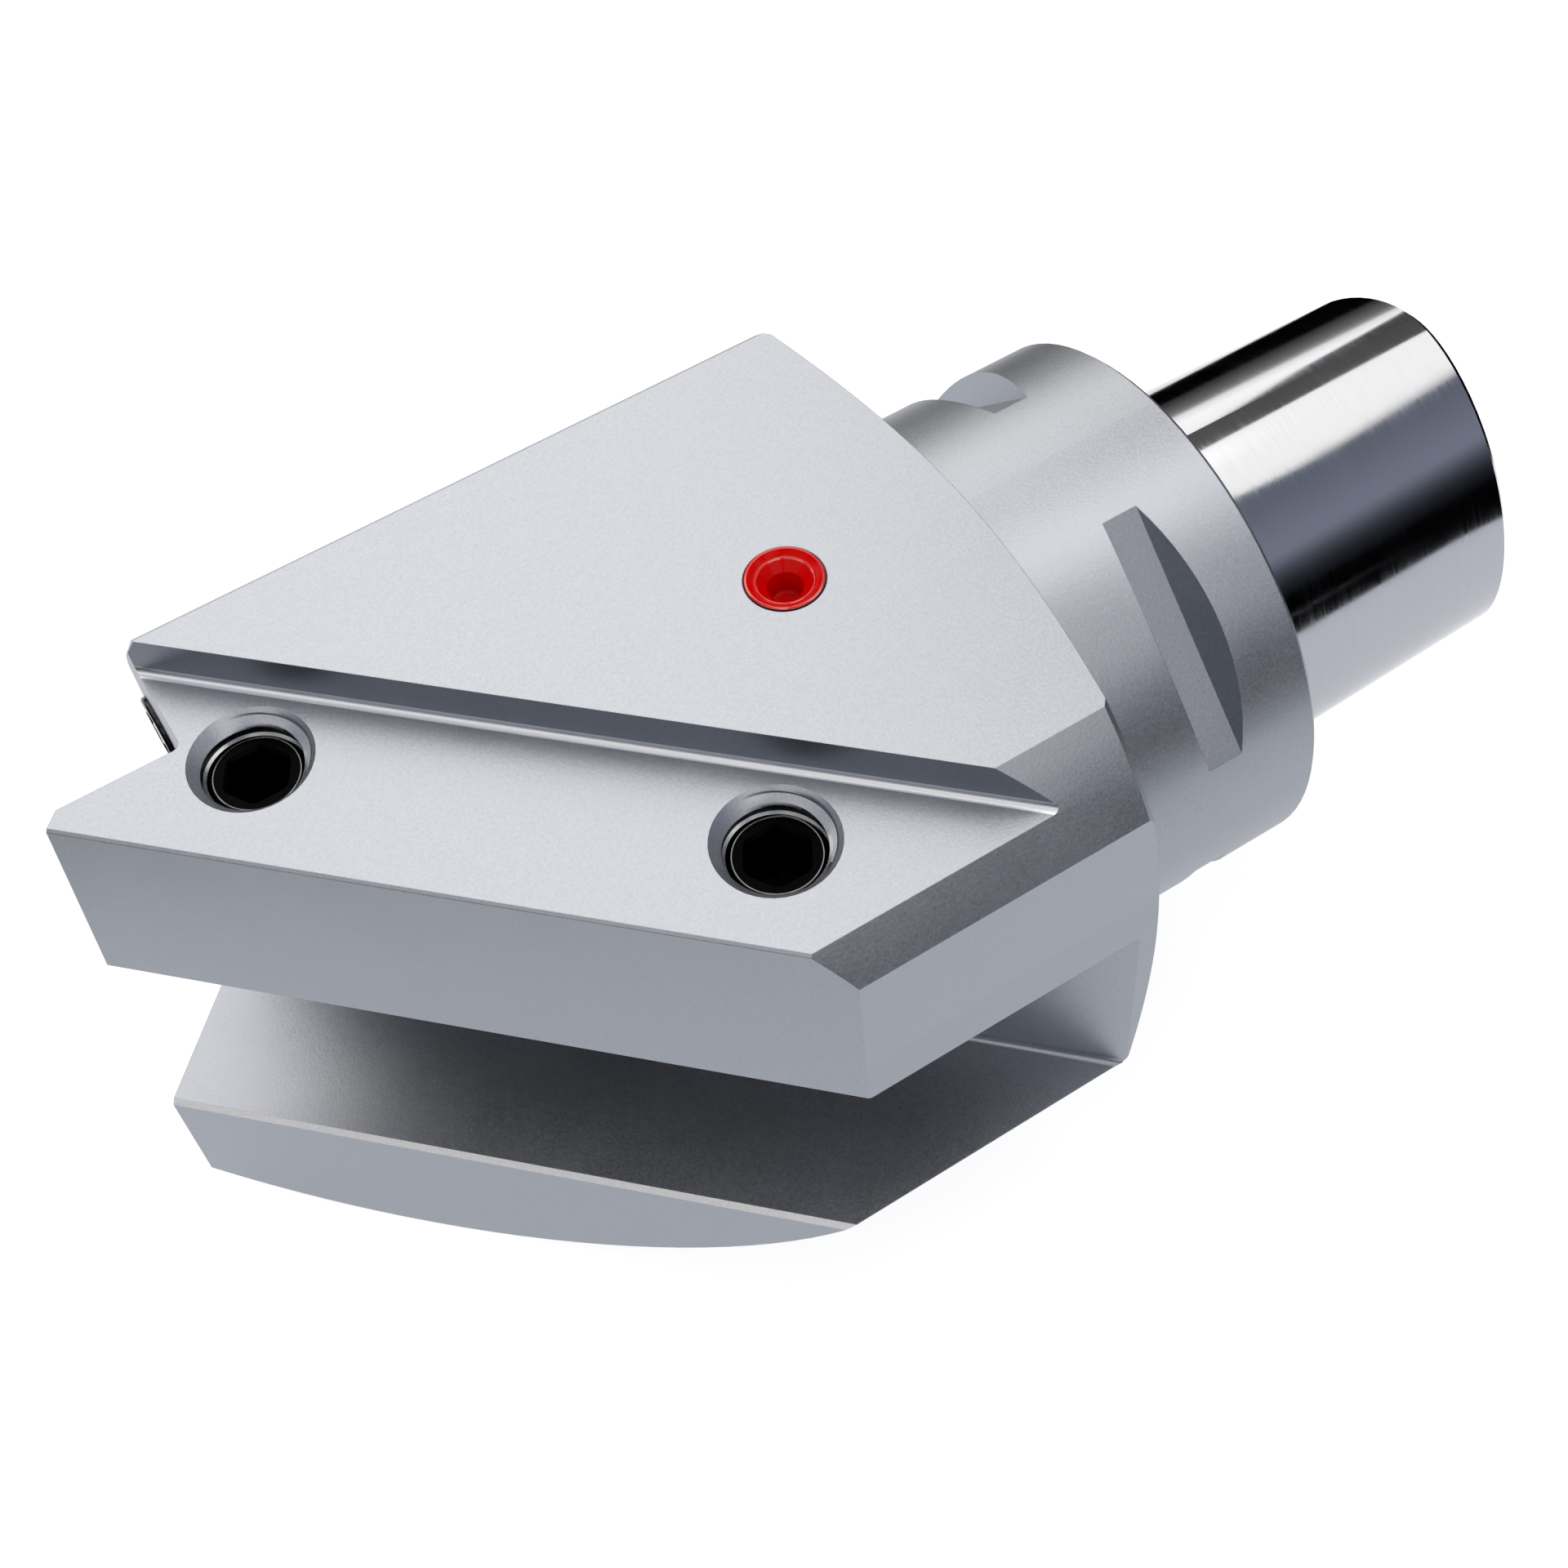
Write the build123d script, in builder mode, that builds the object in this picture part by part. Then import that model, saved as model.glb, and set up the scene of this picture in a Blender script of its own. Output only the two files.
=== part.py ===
from build123d import *
import math
import os

os.makedirs("parts", exist_ok=True)

# Turning adapter: a polygon taper shank, and a slot at 45 degrees for a square tool shank.
# Millimetres. +X runs along the spindle axis towards the machine, +Z is up, and the origin is
# the centre of the flange's rear face, which seats on the spindle nose.

# Spindle side
flange_diameter = 63.0
flange_edge_break = 0.5
taper_mean_diameter = 44.0
taper_lobe_height = 1.4
taper_ratio = 1 / 20
taper_length = 38.0
taper_end_chamfer = 1.0
taper_lobe_angle = 90.0
outline_points = 36

# Inside the shank: drawbar bore, gripping groove, centre bolt thread and coolant channel
drawbar_bore_radius = 14.0
drawbar_bore_length = 11.0
bore_mouth_chamfer = 1.2
grip_groove_radius = 16.2
grip_groove_length = 8.0
inner_bore_radius = 13.0
inner_bore_length = 7.0
bolt_thread_radius = 8.9
bolt_thread_length = 26.0
bolt_thread_chamfer = 1.2
coolant_drill_radius = 4.0

# Gripper pockets round the flange
pocket_count = 4
pocket_first_angle = 45.0
pocket_floor_radius = 28.0
pocket_rear_edge = 10.0
pocket_floor_width = 4.2
pocket_rear_slope = 28.0
pocket_front_slope = 22.0

# Head, turned from a round bar
head_radius = 46.0
shoulder_x = -29.5
shoulder_slope = 0.31
head_end_x = -105.4
head_end_chamfer = 1.0
head_edge_break = 0.5
top_z = 34.0
side_flat_reach = 39.0

# Jaws and slot, measured from the spindle axis across and along the slot
slot_wall = 48.5
slot_floor_z = -25.0
slot_height = 27.5
slot_corner_radius = 0.8
upper_jaw_front = 72.4
upper_jaw_left_y = 20.0
tip_relief_top = 98.2
tip_relief_bottom = 100.4
notch_corner_radius = 1.0
lower_jaw_front = 74.5
lower_jaw_end = 100.6
ledge_z = 29.0
step_wall = 52.1
step_foot_radius = 0.8
edge_break = 0.3
floor_edge_break = 0.6

# Clamp screws: M12 set screws
thread_radius = 6.0
thread_depth = 0.6
thread_clearance = 0.05
screw_length = 20.0
screw_recess = 2.5
screw_line = 60.5
screw_positions = {"clamp_screw_left": -81.2, "clamp_screw_right": -27.7}
screw_sink_radius = 6.5
screw_socket = 6.0
screw_socket_depth = 8.0
screw_top_chamfer = 0.9
screw_point_radius = 4.25

# Coolant port on the top face, with its sealing screw and its plug
port_x = -46.5
port_radius = 3.5
port_depth = 11.6
port_sink_radius = 4.3
port_sink_depth = 0.9
port_drill_radius = 3.0
seal_screw_length = 5.0
seal_screw_socket = 4.0
seal_screw_socket_depth = 3.0
plug_flange_radius = 4.1
plug_rim_height = 0.2
plug_dish_radius = 3.0
plug_dish_depth = 0.4
plug_funnel_depth = 1.4
plug_cup_radius = 1.75
plug_cup_depth = 3.2
plug_barrel_length = 4.4
plug_lead = 0.4
plug_clearance = 0.05

# Coolant nozzle in the head's end face: a ball held between a seat and a slotted ring
nozzle_y = side_flat_reach - 4.8
nozzle_z = top_z - 18.1
nozzle_bore_radius = 4.3
nozzle_bore_depth = 6.4
nozzle_drill_radius = 2.0
nozzle_clearance = 0.05
ball_radius = 3.2
ball_centre_depth = 2.4
ball_jet_radius = 1.0
ring_stand_out = 0.6
ring_depth = 2.8
ring_edge_chamfer = 0.2
ring_mouth_radius = 2.2
ring_key_width = 1.2
ring_key_depth = 0.6
seat_hole_radius = 1.8

# Worked out from the values above
flange_radius = flange_diameter / 2
flange_front_x = shoulder_x + shoulder_slope * (head_radius - flange_radius)
slot_ceiling_z = slot_floor_z + slot_height
blank_front_x = -(lower_jaw_end + lower_jaw_front) / math.sqrt(2) - 4
blank_length = -blank_front_x
overrun = 10.0
thread_core_radius = thread_radius - thread_depth
port_floor_z = top_z - port_depth
nozzle_floor_x = head_end_x + nozzle_bore_depth
ball_centre_x = head_end_x + ball_centre_depth

# The slot runs along (1, -1, 0): in its plan X is along the slot and the jaws reach to -Y.
# In the section across it X is the distance from the spindle axis and Y is up.
slot_plan = Plane(origin=(0, 0, 0), x_dir=(1, -1, 0), z_dir=(0, 0, 1))
slot_section = Plane(origin=(0, 0, 0), x_dir=(-1, -1, 0), z_dir=(-1, 1, 0))
jaw_front = Plane(origin=(0, 0, 0), x_dir=(1, -1, 0), z_dir=(-1, -1, 0)).offset(upper_jaw_front)


def taper_outline(distance, inset=0.0):
    """Points of the three lobed shank at a distance behind the flange face."""
    mean_radius = (taper_mean_diameter - distance * taper_ratio) / 2 - inset
    points = []
    for step in range(outline_points):
        angle = 2 * math.pi * step / outline_points
        reach = mean_radius + taper_lobe_height * math.cos(3 * angle)
        shift = -3 * taper_lobe_height * math.sin(3 * angle)
        normal = angle + math.radians(taper_lobe_angle)
        y = reach * math.cos(normal) - shift * math.sin(normal)
        z = reach * math.sin(normal) + shift * math.cos(normal)
        points.append((y, z))
    return points


def set_screw(radius, length, socket, socket_depth, top_chamfer, point_radius):
    """Set screw that stands on the XY plane, flat point down and hexagon socket up."""
    with BuildPart() as screw:
        with BuildSketch(Plane.XZ):
            with BuildLine():
                Polyline(
                    (0, 0),
                    (point_radius, 0),
                    (radius, radius - point_radius),
                    (radius, length - top_chamfer),
                    (radius - top_chamfer, length),
                    (0, length),
                    close=True,
                )
            make_face()
        revolve(axis=Axis.Z)
        with BuildSketch(Plane.XY.offset(length)):
            RegularPolygon(radius=socket / 2, side_count=6, major_radius=False)
        extrude(amount=-socket_depth, mode=Mode.SUBTRACT)
        with Locations((0, 0, length - socket_depth)):
            Cone(
                bottom_radius=0,
                top_radius=socket / 2,
                height=socket / 4,
                align=(Align.CENTER, Align.CENTER, Align.MAX),
                mode=Mode.SUBTRACT,
            )
    return screw.part


# Holder body: shank, flange, head and both jaws, one piece of steel
with BuildPart() as holder_body:
    # Round blank of the head and flange
    with BuildSketch(Plane.XZ):
        with BuildLine():
            Polyline(
                (blank_front_x, 0),
                (blank_front_x, head_radius),
                (shoulder_x - head_edge_break, head_radius),
                (shoulder_x + shoulder_slope * head_edge_break, head_radius - head_edge_break),
                (flange_front_x, flange_radius),
                (-flange_edge_break, flange_radius),
                (0, flange_radius - flange_edge_break),
                (0, 0),
                close=True,
            )
        make_face()
    revolve(axis=Axis.X)

    # Polygon taper, with a chamfer at its end
    chamfer_start = taper_length - taper_end_chamfer
    for start, end, end_inset in (
        (0.0, chamfer_start, 0.0),
        (chamfer_start, taper_length, taper_end_chamfer),
    ):
        with BuildSketch(Plane.YZ.offset(start)):
            with BuildLine():
                Spline(*taper_outline(start), periodic=True)
            make_face()
        with BuildSketch(Plane.YZ.offset(end)):
            with BuildLine():
                Spline(*taper_outline(end, end_inset), periodic=True)
            make_face()
        loft()

    # Stepped bore from the shank's end to the coolant port
    groove_front_x = taper_length - drawbar_bore_length
    groove_rear_x = groove_front_x - grip_groove_length
    thread_mouth_x = groove_rear_x - inner_bore_length
    thread_end_x = thread_mouth_x - bolt_thread_length
    with BuildSketch(Plane.XZ):
        with BuildLine():
            Polyline(
                (taper_length, 0),
                (taper_length, drawbar_bore_radius + bore_mouth_chamfer),
                (taper_length - bore_mouth_chamfer, drawbar_bore_radius),
                (groove_front_x, drawbar_bore_radius),
                (groove_front_x - grip_groove_radius + drawbar_bore_radius, grip_groove_radius),
                (groove_rear_x, grip_groove_radius),
                (groove_rear_x, inner_bore_radius),
                (thread_mouth_x, inner_bore_radius),
                (thread_mouth_x, bolt_thread_radius + bolt_thread_chamfer),
                (thread_mouth_x - bolt_thread_chamfer, bolt_thread_radius),
                (thread_end_x, bolt_thread_radius),
                (thread_end_x - bolt_thread_radius / 2, coolant_drill_radius),
                (port_x, coolant_drill_radius),
                (port_x - coolant_drill_radius / 2, 0),
                close=True,
            )
        make_face()
    revolve(axis=Axis.X, mode=Mode.SUBTRACT)

    # Gripper pockets: straight slots across the flange, flat floor and sloping sides
    pocket_top = flange_radius + 1
    pocket_front_edge = pocket_rear_edge + pocket_floor_width
    rear_lean = (pocket_top - pocket_floor_radius) * math.tan(math.radians(pocket_rear_slope))
    front_lean = (pocket_top - pocket_floor_radius) * math.tan(math.radians(pocket_front_slope))
    for index in range(pocket_count):
        turn = math.radians(pocket_first_angle + index * 360 / pocket_count)
        across = Plane(origin=(0, 0, 0), x_dir=(1, 0, 0), z_dir=(0, -math.sin(turn), math.cos(turn)))
        with BuildSketch(across):
            with BuildLine():
                Polyline(
                    (-pocket_rear_edge, pocket_floor_radius),
                    (-pocket_rear_edge + rear_lean, pocket_top),
                    (-pocket_front_edge - front_lean, pocket_top),
                    (-pocket_front_edge, pocket_floor_radius),
                    close=True,
                )
            make_face()
        extrude(amount=flange_radius, both=True, mode=Mode.SUBTRACT)

    # Top face, and a flat on each side of the head
    with BuildSketch(Plane.XY.offset(top_z)):
        with Locations((blank_front_x / 2, 0)):
            Rectangle(blank_length + overrun, 2 * head_radius + overrun)
    extrude(amount=head_radius, mode=Mode.SUBTRACT)
    for way in (1, -1):
        with BuildSketch(Plane.XZ.offset(way * side_flat_reach)):
            with Locations((blank_front_x / 2, 0)):
                Rectangle(blank_length + overrun, 2 * head_radius + overrun)
        extrude(amount=way * head_radius, mode=Mode.SUBTRACT)

    # Step, upper jaw, slot and lower jaw: one profile cut all along the slot
    outside = lower_jaw_front + 2 * head_radius
    above = top_z + overrun
    below = -head_radius - overrun
    profile = [
        ((step_wall, above), 0),
        ((step_wall, ledge_z), step_foot_radius),
        ((upper_jaw_front - edge_break, ledge_z), 0),
        ((upper_jaw_front, ledge_z - edge_break), 0),
        ((upper_jaw_front, slot_ceiling_z + edge_break), 0),
        ((upper_jaw_front - edge_break, slot_ceiling_z), 0),
        ((slot_wall, slot_ceiling_z), slot_corner_radius),
        ((slot_wall, slot_floor_z), slot_corner_radius),
        ((lower_jaw_front - floor_edge_break, slot_floor_z), 0),
        ((lower_jaw_front, slot_floor_z - floor_edge_break), 0),
        ((lower_jaw_front, below), 0),
        ((outside, below), 0),
        ((outside, above), 0),
    ]
    with BuildSketch(slot_section):
        with BuildLine():
            FilletPolyline(
                *[point for point, _ in profile],
                radius=[radius for _, radius in profile],
                close=True,
            )
        make_face()
    extrude(amount=blank_length + head_radius, both=True, mode=Mode.SUBTRACT)

    # Left of the upper jaw, down to the slot floor, the head ends in a flat face
    with BuildSketch(Plane.XY.offset(slot_floor_z)):
        with BuildLine():
            FilletPolyline(
                (head_end_x, 2 * head_radius),
                (head_end_x, upper_jaw_left_y),
                (blank_front_x - overrun, upper_jaw_left_y),
                (blank_front_x - overrun, 2 * head_radius),
                radius=[0, notch_corner_radius, 0, 0],
                close=True,
            )
        make_face()
    extrude(amount=2 * head_radius, mode=Mode.SUBTRACT)

    # Under the slot floor, the lower jaw ends square to the slot
    end_corner_y = head_end_x + lower_jaw_end * math.sqrt(2)
    run = blank_length + overrun + head_end_x
    with BuildSketch(Plane.XY.offset(slot_floor_z)):
        with BuildLine():
            Polyline(
                (head_end_x, end_corner_y),
                (head_end_x, 2 * head_radius),
                (head_end_x - run, 2 * head_radius),
                (head_end_x - run, end_corner_y - run),
                close=True,
            )
        make_face()
    extrude(amount=-head_radius, mode=Mode.SUBTRACT)

    # Relief at the upper jaw's tip, a plane that leans in towards the ledge
    with BuildSketch(jaw_front):
        with BuildLine():
            Polyline(
                (-tip_relief_top, ledge_z),
                (-tip_relief_bottom, slot_ceiling_z),
                (-lower_jaw_end - overrun, slot_ceiling_z),
                (-lower_jaw_end - overrun, ledge_z),
                close=True,
            )
        make_face()
    extrude(amount=upper_jaw_front / 4, both=True, mode=Mode.SUBTRACT)

    # Turned chamfer between the end face and the round of the head
    end_edges = holder_body.edges().filter_by(GeomType.CIRCLE).filter_by_position(
        Axis.X, head_end_x - 0.01, head_end_x + 0.01
    )
    chamfer(end_edges.filter_by_position(Axis.Z, 0, head_radius), head_end_chamfer)

    # Threaded holes for the clamp screws, countersunk in the ledge
    with Locations(slot_plan.offset(ledge_z)):
        with Locations(*[(position, -screw_line) for position in screw_positions.values()]):
            CounterSinkHole(
                radius=thread_core_radius,
                counter_sink_radius=screw_sink_radius,
                depth=ledge_z - slot_ceiling_z + slot_height / 2,
                counter_sink_angle=90,
            )

    # Coolant port: countersunk and threaded from the top, then drilled to the channel
    with BuildSketch(Plane.XZ):
        with BuildLine():
            Polyline(
                (port_x, above),
                (port_x + port_sink_radius, above),
                (port_x + port_sink_radius, top_z),
                (port_x + port_radius, top_z - port_sink_depth),
                (port_x + port_radius, port_floor_z),
                (port_x + port_drill_radius, port_floor_z - port_radius + port_drill_radius),
                (port_x + port_drill_radius, 0),
                (port_x, 0),
                close=True,
            )
        make_face()
    revolve(axis=Axis((port_x, 0, 0), (0, 0, 1)), mode=Mode.SUBTRACT)

    # Nozzle bore in the end face, and the drilling from it to the port
    with BuildSketch(Plane.YZ.offset(head_end_x)):
        with Locations((nozzle_y, nozzle_z)):
            Circle(nozzle_bore_radius)
    extrude(amount=nozzle_bore_depth, mode=Mode.SUBTRACT)
    drill_start = Vector(nozzle_floor_x, nozzle_y, nozzle_z)
    drill_run = Vector(port_x, 0, nozzle_z) - drill_start
    with BuildSketch(Plane(origin=drill_start, z_dir=drill_run)):
        Circle(nozzle_drill_radius)
    extrude(amount=drill_run.length, mode=Mode.SUBTRACT)
    with BuildSketch(Plane(origin=drill_start, z_dir=drill_run)):
        Circle(nozzle_drill_radius)
    extrude(amount=-nozzle_drill_radius, mode=Mode.SUBTRACT)
holder_body.part.label = "holder_body"
export_step(holder_body.part, "parts/holder_body.step")

# Clamp screws: one near the tool's cutting end, one near its rear end
clamp_screw_shape = set_screw(
    thread_core_radius - thread_clearance,
    screw_length,
    screw_socket,
    screw_socket_depth,
    screw_top_chamfer,
    screw_point_radius,
)
for name, position in screw_positions.items():
    with BuildPart() as clamp_screw:
        with Locations(slot_plan.offset(ledge_z - screw_recess - screw_length)):
            with Locations((position, -screw_line)):
                add(clamp_screw_shape)
    clamp_screw.part.label = name
    export_step(clamp_screw.part, f"parts/{name}.step")

# Sealing screw, turned down on the seat at the bottom of the port's thread
seal_screw_radius = port_radius - thread_clearance
seal_screw_shape = set_screw(
    seal_screw_radius,
    seal_screw_length,
    seal_screw_socket,
    seal_screw_socket_depth,
    port_radius - port_drill_radius,
    port_drill_radius,
)
with BuildPart() as port_sealing_screw:
    with Locations((port_x, 0, port_floor_z - port_radius + port_drill_radius + thread_clearance)):
        add(seal_screw_shape)
port_sealing_screw.part.label = "port_sealing_screw"
export_step(port_sealing_screw.part, "parts/port_sealing_screw.step")

# Port plug: a hollow push-in cap of plastic with a dished rim
with BuildPart() as port_plug:
    barrel_radius = port_radius - plug_clearance
    barrel_end_z = top_z - plug_barrel_length
    sink_slope = port_sink_depth / (port_sink_radius - port_radius)
    cup_floor_z = top_z - plug_cup_depth
    with BuildSketch(Plane.XZ):
        with BuildLine():
            Polyline(
                (port_x, barrel_end_z),
                (port_x + barrel_radius - plug_lead, barrel_end_z),
                (port_x + barrel_radius, barrel_end_z + plug_lead),
                (port_x + barrel_radius, top_z - port_sink_depth + plug_clearance),
                (port_x + plug_flange_radius, top_z - sink_slope * plug_rim_height),
                (port_x + plug_flange_radius, top_z),
                (port_x + plug_flange_radius - plug_rim_height, top_z + plug_rim_height),
                (port_x + plug_dish_radius, top_z - plug_dish_depth),
                (port_x + plug_cup_radius, top_z - plug_funnel_depth),
                (port_x + plug_cup_radius, cup_floor_z),
                (port_x, cup_floor_z),
                close=True,
            )
        make_face()
    revolve(axis=Axis((port_x, 0, 0), (0, 0, 1)))
port_plug.part.label = "port_plug"
export_step(port_plug.part, "parts/port_plug.step")

# The three nozzle pieces are turned about one axis, from half sections in one plane
nozzle_axis = Axis((head_end_x, nozzle_y, nozzle_z), (1, 0, 0))
nozzle_plan = Plane(origin=(0, nozzle_y, nozzle_z), x_dir=(1, 0, 0), z_dir=(0, 0, 1))

# Nozzle ball, drilled through for the jet
jet_reach = math.sqrt(ball_radius**2 - ball_jet_radius**2)
with BuildPart() as nozzle_ball:
    with BuildSketch(nozzle_plan):
        with BuildLine():
            ball_front = (ball_centre_x - jet_reach, ball_jet_radius)
            ball_rear = (ball_centre_x + jet_reach, ball_jet_radius)
            ThreePointArc(ball_front, (ball_centre_x, ball_radius), ball_rear)
            Line(ball_rear, ball_front)
        make_face()
    revolve(axis=nozzle_axis)
nozzle_ball.part.label = "nozzle_ball"
export_step(nozzle_ball.part, "parts/nozzle_ball.step")

# Nozzle ring: screwed into the bore over the ball, with two slots for a pin key
socket_radius = ball_radius + nozzle_clearance
ring_front_x = head_end_x - ring_stand_out
ring_rear_x = head_end_x + ring_depth
ring_radius = nozzle_bore_radius - nozzle_clearance
mouth_x = ball_centre_x - math.sqrt(socket_radius**2 - ring_mouth_radius**2)
with BuildPart() as nozzle_ring:
    with BuildSketch(nozzle_plan):
        with BuildLine():
            Polyline(
                (ring_front_x, ring_mouth_radius + mouth_x - ring_front_x),
                (ring_front_x, ring_radius - ring_edge_chamfer),
                (ring_front_x + ring_edge_chamfer, ring_radius),
                (ring_rear_x, ring_radius),
                (ring_rear_x, socket_radius),
                (ball_centre_x, socket_radius),
            )
            RadiusArc((ball_centre_x, socket_radius), (mouth_x, ring_mouth_radius), -socket_radius)
            Line(
                (mouth_x, ring_mouth_radius),
                (ring_front_x, ring_mouth_radius + mouth_x - ring_front_x),
            )
        make_face()
    revolve(axis=nozzle_axis)
    with BuildSketch(Plane.YZ.offset(ring_front_x)):
        with Locations((nozzle_y, nozzle_z)):
            Rectangle(2 * nozzle_bore_radius, ring_key_width)
    extrude(amount=ring_key_depth, mode=Mode.SUBTRACT)
nozzle_ring.part.label = "nozzle_ring"
export_step(nozzle_ring.part, "parts/nozzle_ring.step")

# Nozzle seat: the hollow seat ring that the slotted ring presses behind the ball
seat_front_x = ring_rear_x + nozzle_clearance
seat_edge_radius = math.sqrt(socket_radius**2 - (seat_front_x - ball_centre_x) ** 2)
seat_hole_x = ball_centre_x + math.sqrt(socket_radius**2 - seat_hole_radius**2)
with BuildPart() as nozzle_seat:
    with BuildSketch(nozzle_plan):
        with BuildLine():
            Polyline(
                (seat_front_x, seat_edge_radius),
                (seat_front_x, ring_radius),
                (nozzle_floor_x, ring_radius),
                (nozzle_floor_x, seat_hole_radius),
                (seat_hole_x, seat_hole_radius),
            )
            RadiusArc(
                (seat_hole_x, seat_hole_radius), (seat_front_x, seat_edge_radius), -socket_radius
            )
        make_face()
    revolve(axis=nozzle_axis)
nozzle_seat.part.label = "nozzle_seat"
export_step(nozzle_seat.part, "parts/nozzle_seat.step")
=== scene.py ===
import math

import bmesh
import bpy
from mathutils import Matrix, Vector


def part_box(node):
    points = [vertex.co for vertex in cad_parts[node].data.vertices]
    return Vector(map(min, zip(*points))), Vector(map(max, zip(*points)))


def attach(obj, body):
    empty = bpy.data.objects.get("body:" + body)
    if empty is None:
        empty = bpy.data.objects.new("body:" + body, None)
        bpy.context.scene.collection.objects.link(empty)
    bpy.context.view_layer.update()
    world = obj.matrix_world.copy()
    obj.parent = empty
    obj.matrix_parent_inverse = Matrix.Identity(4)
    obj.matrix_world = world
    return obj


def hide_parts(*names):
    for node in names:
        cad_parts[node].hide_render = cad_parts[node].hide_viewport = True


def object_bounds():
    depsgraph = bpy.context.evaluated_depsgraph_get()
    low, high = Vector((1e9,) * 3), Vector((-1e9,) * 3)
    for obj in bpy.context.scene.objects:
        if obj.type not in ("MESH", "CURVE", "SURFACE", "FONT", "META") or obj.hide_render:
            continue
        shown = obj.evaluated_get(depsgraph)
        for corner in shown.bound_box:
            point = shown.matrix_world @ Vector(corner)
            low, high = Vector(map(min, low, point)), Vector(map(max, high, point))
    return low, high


# Turning adapter with a polygon taper shank, a slanted slot for a square tool shank, two clamp
# screws, a ball nozzle and a plugged coolant port. Metres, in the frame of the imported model.
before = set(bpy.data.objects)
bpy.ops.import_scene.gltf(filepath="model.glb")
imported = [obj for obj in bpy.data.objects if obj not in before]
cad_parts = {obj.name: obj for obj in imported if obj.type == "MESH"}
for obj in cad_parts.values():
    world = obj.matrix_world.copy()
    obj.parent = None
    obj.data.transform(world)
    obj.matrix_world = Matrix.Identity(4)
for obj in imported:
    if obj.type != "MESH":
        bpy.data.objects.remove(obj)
cad_low, cad_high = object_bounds()

MM = 0.001
ROOT2 = math.sqrt(2)
FLOOR_Z = cad_low.z

# Points closer than WELD are made one, points closer to a cutting plane than ON_PLANE lie on it,
# and places closer than NEAR count as the same
WELD = 0.0005 * MM
ON_PLANE = 0.0001 * MM
NEAR = 0.02 * MM
# Share of a face's normal that lies along an axis, past which the face looks that way
FACING = 0.9

# Head: the slot runs along (1, -1, 0), and sizes across it are measured from the spindle axis
LEDGE_Z = 29 * MM
STEP_WALL = 52.1 * MM
STEP_FOOT_RADIUS = 0.8 * MM
SLOT_CEILING_Z = 2.5 * MM
LOWER_JAW_FRONT = 74.5 * MM
LOWER_JAW_TOP_Z = -25 * MM
JAW_EDGE_BREAK = 0.6 * MM

# Clamp screws M12 x 1.75: thread sizes of the hole, and the gap to the screw's thread
M12_PITCH = 1.75 * MM
M12_CREST = 5.05 * MM
M12_ROOT = 6.0 * MM
M12_GAP = 0.06 * MM
M12_CAD_RADIUS = 5.4 * MM
# Height of the threads' crest at azimuth 0, the same in hole and screw
M12_PHASE = 0.82 * MM
# Countersinks of the hole, and the depth past which its grooves are darkened with painted shade
SINK_RADIUS = 6.5 * MM
LOWER_SINK_RADIUS = 6.2 * MM
GROOVE_SHADE_DEPTH = 0.3 * MM
# Ends of the screw, with a hexagon socket in one and a cup in the other
SCREW_TOP_RADIUS = 4.5 * MM
SCREW_POINT_RADIUS = 4.25 * MM
SCREW_EDGE = 0.1 * MM
SOCKET_HALF_WIDTH = 3.0 * MM
SOCKET_DEPTH = 8.0 * MM
SOCKET_CHAMFER = 0.35 * MM
SOCKET_MOUTH_RADIUS = 3.65 * MM
SOCKET_TIP_DEPTH = 1.2 * MM
CUP_RADIUS = 3.1 * MM
CUP_FLOOR_RADIUS = 1.2 * MM
CUP_DEPTH = 1.2 * MM
CUP_TIP_DEPTH = 1.6 * MM

# Centre bolt thread M20 x 2 in the shank
M20_PITCH = 2.0 * MM
M20_CREST = 8.9 * MM
M20_ROOT = 10.0 * MM
M20_MOUTH_X = 12.0 * MM
M20_END_X = -14.0 * MM
M20_MOUTH_CHAMFER = 1.2 * MM
M20_RUN_OUT = 2.0 * MM

# Shank: its end edge starts at SHANK_EDGE_X, outside the bore's mouth; the bore's other parts
# lie inside BORE_RADIUS and end at BORE_END_X
SHANK_EDGE_X = 36 * MM
BORE_MOUTH_RADIUS = 15 * MM
BORE_RADIUS = 18 * MM
BORE_END_X = M20_END_X - 6 * MM

# Facets round a thread and a turned piece, along a thread's flank and along a rounded corner
THREAD_STEPS = 72
TURN_STEPS = 96
FLANK_STEPS = 3
ROUND_STEPS = 6
FLANK_ANGLE = 30

# Edges sharper than these stay sharp, in degrees
THREAD_SHARP = 25
PLUG_SHARP = 40

# Noise with some finer noise in it, and the range that most of its values lie in
FINE_NOISE = {"Detail": 3.0, "Roughness": 0.6}
NOISE_SPAN = {"From Min": 0.3, "From Max": 0.7}


def srgb(code):
    """Linear colour of an sRGB hex code, with alpha 1."""
    values = [int(code[i : i + 2], 16) / 255 for i in (1, 3, 5)]
    linear = [v / 12.92 if v <= 0.04045 else ((v + 0.055) / 1.055) ** 2.4 for v in values]
    return (*linear, 1.0)


def add_node(tree, kind, inputs=None, **settings):
    """Adds a node with its settings, and with each named or numbered input set or linked."""
    node = tree.nodes.new(kind)
    for name, value in settings.items():
        setattr(node, name, value)
    for socket, value in (inputs or {}).items():
        if isinstance(value, bpy.types.NodeSocket):
            tree.links.new(value, node.inputs[socket])
        else:
            node.inputs[socket].default_value = value
    return node


def start_material(name):
    """An empty node material, and its tree."""
    material = bpy.data.materials.new(name)
    material.use_nodes = True
    material.node_tree.nodes.clear()
    return material, material.node_tree


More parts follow.
